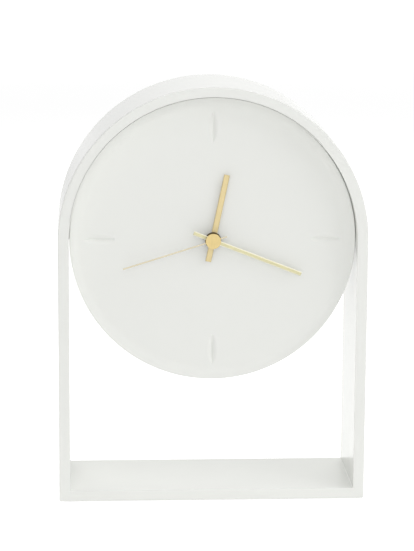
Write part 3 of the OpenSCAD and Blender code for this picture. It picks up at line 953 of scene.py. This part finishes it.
@dataclass
class DialPlate:
    """The white dial: a flat face that curves up to a raised edge, with four pinched hour marks."""

    radius: float = 101.85
    hole: float = 4.1
    edge_depth: float = 11.0
    face_depth: float = 13.0
    back_depth: float = 16.0
    rise_width: float = 7.0
    rise_steps: int = 20
    rim_flat: float = 0.9
    rim_edge: float = 0.35
    rim_steps: int = 4
    turn_steps: int = 240
    mark_at: float = 80.5
    mark_length: float = 22.0
    mark_width: float = 8.0
    mark_depth: float = 1.8
    mark_curve: float = 2.0
    mark_steps: int = 32
    flank_steps: int = 8
    # How the width and the depth of a mark fall off towards its tips, and the least share left there
    width_fall: float = 0.45
    depth_fall: float = 0.7
    tip: float = 0.004
    # The cutter above the face: how much wider, and how high
    brim: float = 1.02
    cutter_over: float = 0.6
    post: Post = Post(76.0, 3.6, 34.4)
    lug: Post = Post(32.2, 3.8, 20.0)
    smooth: float = 14.0

    def profile(self) -> list[Flat]:
        """The turned profile.

        Returns:
            Its points as (radius, depth).
        """
        start, height = self.radius - self.rim_flat - self.rise_width, self.face_depth - self.edge_depth
        rise = [(start + self.rise_width * s, self.face_depth - height * (1 - math.cos(QUARTER * s)))
                for s in spaced(0.0, 1.0, self.rise_steps)]
        r = self.rim_edge
        rim = [(self.radius - r + r * math.sin(t), self.edge_depth + r - r * math.cos(t))
               for t in spaced(0.0, QUARTER, self.rim_steps)]
        return [(self.hole, self.back_depth), (self.hole, self.face_depth), *rise, *rim,
                (self.radius, self.back_depth)]

    def mark(self, angle: float) -> bpy.types.Object:
        """A boat-shaped cutter with a sharp keel for one hour mark.

        Args:
            angle: Its angle in degrees from +x towards +z.

        Returns:
            The cutter.
        """
        rings = []
        for s in spaced(-1.0, 1.0, self.mark_steps):
            share = max(self.tip, 1 - s * s)
            w = self.mark_width / 2 * share ** self.width_fall
            d = self.mark_depth * share ** self.depth_fall
            x = self.mark_at + s * self.mark_length / 2
            flank = [(w * u, d * (1 - abs(u)) ** self.mark_curve)
                     for u in spaced(1.0, -1.0, 2 * self.flank_steps)]
            section = [(w * self.brim, -self.cutter_over)] + flank + [(-w * self.brim, -self.cutter_over)]
            rings.append([(x, self.face_depth + deep, z) for z, deep in section])
        turn = Matrix.Rotation(math.radians(-angle), 4, "Y")
        return Blank().skin(rings, caps=True).solid("mark_cutter", axis_point() @ turn)

    def add_post(self, blank: Blank, post: Post, angle: float) -> None:
        """Adds a post behind the dial.

        Args:
            blank: The dial in the making.
            post: The post.
            angle: Where it stands, in degrees from +x towards +z.
        """
        a = math.radians(angle)
        disc = Disc(self.back_depth, post.end - self.back_depth, post.radius)
        blank.rod(disc, (post.out * math.cos(a), post.out * math.sin(a)))

    def build(self) -> None:
        """Builds and dresses the dial."""
        blank = Blank().lathe(self.profile(), self.turn_steps)
        for angle in (45, 135, 225, 315):
            self.add_post(blank, self.post, angle)
        for angle in (180, 0):
            self.add_post(blank, self.lug, angle)
        face = blank.solid("dial_face", axis_point())
        for angle in (0, 90, 180, 270):
            Workshop.cut(face, self.mark(angle))
        Workshop.fit(face, Finishes.DIAL, "frame", "dial", angle=self.smooth)


# Hands


@dataclass
class Hand:
    """One hand: a flat bar with chamfered long sides and a boss round its tube.

    It is drawn upright and turned clockwise by an angle in degrees. The chamfer is (width, depth).
    """

    name: str
    node: str
    body: str
    clockwise: float
    depth: float
    thick: float
    width: float
    length: float
    tail: float
    boss: Disc
    finish: Finishes
    chamfer: Flat = (0.55, 0.28)
    edge: float = 0.05
    edge_angle: float = 25.0
    boss_edge: float = 0.06
    smooth: float = 20.0

    def build(self) -> None:
        """Builds and dresses the hand."""
        w, (cw, cd), t = self.width / 2, self.chamfer, self.thick
        section = [(-w, cd), (-w + cw, 0.0), (w - cw, 0.0), (w, cd), (w, t), (-w, t)]
        rings = [[(x, y, z) for x, y in section] for z in (-self.tail, self.length)]
        blank = Blank().skin(rings, caps=True).soften(self.edge, self.edge_angle, segments=2)
        start, length, radius = self.boss
        blank.rod(Disc(start - self.depth, length, radius), edge=self.boss_edge)
        turn = Matrix.Rotation(math.radians(self.clockwise), 4, "Y")
        piece = blank.solid(self.name, axis_point(self.depth) @ turn)
        Workshop.fit(piece, self.finish, self.body, self.node, angle=self.smooth)


@dataclass
class HandSet:
    """The three hands with the dark collar and the front cap."""

    hands: list[Hand] = field(default_factory=lambda: [
        Hand("hour_bar", "hour_hand", "hour_group", clockwise=11.8, depth=9.4, thick=0.5,
             width=4.1, length=47.6, tail=16.0, boss=Disc(9.9, 1.2, 3.2), finish=Finishes.HOUR_GOLD),
        Hand("minute_bar", "minute_hand", "minute_group", clockwise=111.4, depth=7.0, thick=0.5,
             width=3.0, length=67.6, tail=14.9, boss=Disc(6.6, 0.4, 2.6), finish=Finishes.MINUTE_GOLD),
        Hand("second_bar", "second_hand", "second_group", clockwise=252.6, depth=5.1, thick=0.3,
             width=1.0, length=67.1, tail=10.2, boss=Disc(5.4, 0.7, 1.3), finish=Finishes.SECOND_GOLD,
             chamfer=(0.18, 0.1)),
    ])
    collar: Disc = Disc(7.5, 1.4, 5.8)
    collar_edge: float = 0.15
    collar_steps: int = 72
    cap: Disc = Disc(3.5, 0.9, 5.45)
    cap_boss: Disc = Disc(4.4, 0.7, 1.5)
    cap_edge: float = 0.18
    cap_steps: int = 96

    def build(self) -> None:
        """Builds and dresses the hands, the collar and the cap."""
        for hand in self.hands:
            hand.build()
        collar = Blank().rod(self.collar, edge=self.collar_edge, steps=self.collar_steps)
        ring = collar.solid("hub_ring", axis_point())
        Workshop.fit(ring, Finishes.COLLAR, "minute_group", "hub_collar")
        cap = Blank().rod(self.cap, edge=self.cap_edge, steps=self.cap_steps).rod(self.cap_boss)
        disc = cap.solid("cap_disc", axis_point())
        Workshop.fit(disc, Finishes.CAP_GOLD, "second_group", "front_cap")


# Drum and works


@dataclass
class DrumBack:
    """The closed back of the drum, with its screws, the battery door and the setting knob."""

    edge: float = 0.12
    door_edge: float = 0.25

    def build(self) -> None:
        """Dresses the drum's solids."""
        Workshop.dress("drum_cover", Finishes.FRAME, self.edge)
        Workshop.dress("battery_door", Finishes.FRAME, self.door_edge)
        Workshop.dress("cover_screws", Finishes.STEEL, self.edge)
        Workshop.dress("setting_knob", Finishes.KNOB, self.edge)


@dataclass
class Works:
    """The battery movement inside the drum. Its wheels, rotor and coil keep their sharp edges."""

    finishes: dict[str, Finishes] = field(default_factory=lambda: {
        "movement_front_case": Finishes.CASE,
        "movement_rear_case": Finishes.CASE,
        "stem_gasket": Finishes.GASKET,
        "movement_screws": Finishes.STEEL,
        "hour_wheel": Finishes.BRASS,
        "reverser_wheel": Finishes.WHEEL,
        "cannon_pinion": Finishes.BRASS,
        "minute_wheel": Finishes.WHEEL,
        "third_wheel": Finishes.WHEEL,
        "second_wheel": Finishes.WHEEL,
        "intermediate_wheel": Finishes.WHEEL,
        "rotor": Finishes.MAGNET,
        "stator": Finishes.STATOR,
        "coil_bobbin": Finishes.BOBBIN,
        "coil_winding": Finishes.WIRE,
        "circuit_board": Finishes.BOARD,
        "quartz_crystal": Finishes.STEEL,
        "battery": Finishes.CELL,
        "plus_contact": Finishes.CONTACT,
        "minus_contact": Finishes.CONTACT,
    })
    edge: float = 0.1

    def build(self) -> None:
        """Dresses the movement's solids."""
        for node, finish in self.finishes.items():
            fine = "wheel" in node or node in ("rotor", "coil_winding")
            Workshop.dress(node, finish, 0.0 if fine else self.edge)


# Studio


@dataclass(frozen=True)
class Lamp:
    """A square soft lamp that faces the dial: its place, its power in watts and its side in metres."""

    name: str
    at: Point
    power: float
    side: float

    def hang(self) -> None:
        """Hangs the lamp."""
        data = bpy.data.lights.new(self.name, "AREA")
        data.shape, data.size, data.energy = "SQUARE", self.side, self.power
        place = Vector(self.at) * MM
        facing = (Vector((0.0, 0.0, AXIS_HEIGHT)) * MM - place).to_track_quat("-Z", "Y")
        put(self.name, data, Matrix.Translation(place) @ facing.to_matrix().to_4x4())


@dataclass
class Studio:
    """A plain pale floor, soft light and the camera at the photograph's viewing angle.

    The angles are in radians. The room gives its share of white as light. The floor, in metres from
    its middle, is lifted to white where it is looked at, and glows a little under the clock.
    """

    eye: Point = (-100.80, -1640.0, 491.71)
    yaw: float = 0.06001
    pitch: float = 0.20034
    roll: float = 0.00592
    lens: float = 150.94
    clip: Flat = (0.05, 60.0)
    room: float = 0.45
    paper: Point = (0.86, 0.86, 0.86)
    lift: Flat = (0.42, 0.8)
    lift_reach: Flat = (0.9, 4.5)
    glow: float = 0.2
    glow_reach: Flat = (0.2, 0.9)
    floor_half: float = 30.0
    floor_cells: int = 8
    lamps: tuple[Lamp, ...] = (
        Lamp("key", (1250.0, -800.0, 1400.0), 3.8, 1.3),
        Lamp("side", (1450.0, -640.0, 1000.0), 5.0, 1.1),
        Lamp("front", (-100.0, -1700.0, 650.0), 6.7, 1.0),
        Lamp("high", (0.0, -1500.0, 1600.0), 2.2, 1.5),
        Lamp("back", (0.0, 900.0, 1300.0), 9.2, 1.2))

    def camera(self) -> None:
        """Places the camera."""
        cy, sy = math.cos(self.yaw), math.sin(self.yaw)
        cp, sp = math.cos(self.pitch), math.sin(self.pitch)
        ahead = Vector((sy * cp, cy * cp, -sp))
        right = Vector((cy, -sy, 0.0))
        up = right.cross(ahead)
        cr, sr = math.cos(self.roll), math.sin(self.roll)
        across, upward = cr * right + sr * up, -sr * right + cr * up
        data = bpy.data.cameras.new("camera")
        data.lens = self.lens
        data.clip_start, data.clip_end = self.clip
        turn = Matrix((across, upward, -ahead)).transposed().to_4x4()
        bpy.context.scene.camera = put("camera", data, Matrix.Translation(Vector(self.eye) * MM) @ turn)

    def world(self) -> None:
        """Fills the room with even white light, and shows it as white where it is looked at."""
        world = bpy.data.worlds.new("room")
        world.use_nodes = True
        bpy.context.scene.world = world
        graph = Graph(world.node_tree)
        looked_at = graph.looked_at()
        strength = looked_at + (1.0 - looked_at) * self.room
        sky = graph.node("ShaderNodeBackground", None, {"Color": WHITE, "Strength": strength})
        graph.end(sky, "ShaderNodeOutputWorld")

    def paint_floor(self) -> bpy.types.Material:
        """Makes the floor's pale finish.

        Returns:
            The material.
        """
        material = bpy.data.materials.new("pale_floor")
        material.use_nodes = True
        graph = Graph(material.node_tree)
        away = graph.node("ShaderNodeVectorMath", {"operation": "LENGTH"}, {0: graph.place()},
                          out="Value")
        lift = graph.looked_at() * away.spread(self.lift_reach, *self.lift)
        glow = away.spread(self.glow_reach, self.glow, 0.0)
        paper = graph.node("ShaderNodeBsdfDiffuse", None, {"Color": self.paper})
        shine = graph.node("ShaderNodeEmission", None, {"Color": WHITE, "Strength": lift + glow})
        graph.end(graph.node("ShaderNodeAddShader", None, {0: paper, 1: shine}))
        return material

    def floor(self) -> None:
        """Lays the pale floor, which keeps the clock's shadow."""
        mesh = bpy.data.meshes.new("floor")
        bm = bmesh.new()
        cells = self.floor_cells
        bmesh.ops.create_grid(bm, x_segments=cells, y_segments=cells, size=self.floor_half)
        bm.to_mesh(mesh)
        bm.free()
        mesh.materials.append(self.paint_floor())
        put("floor", mesh, Matrix.Identity(4))

    def build(self) -> None:
        """Sets up the studio."""
        self.camera()
        self.world()
        self.floor()
        for lamp in self.lamps:
            lamp.hang()
        bpy.context.scene.view_settings.view_transform = "Standard"
        log.info("studio: camera, room, floor and %d lamps", len(self.lamps))


def main() -> None:
    """Builds the studio and every sub-assembly in order."""
    logging.basicConfig(level=logging.INFO, format="%(name)s: %(message)s")
    for part in (Studio(), ArchFrame(), DialPlate(), HandSet(), DrumBack(), Works()):
        log.info("building %s", type(part).__name__)
        part.build()


if __name__ == "__main__":
    main()
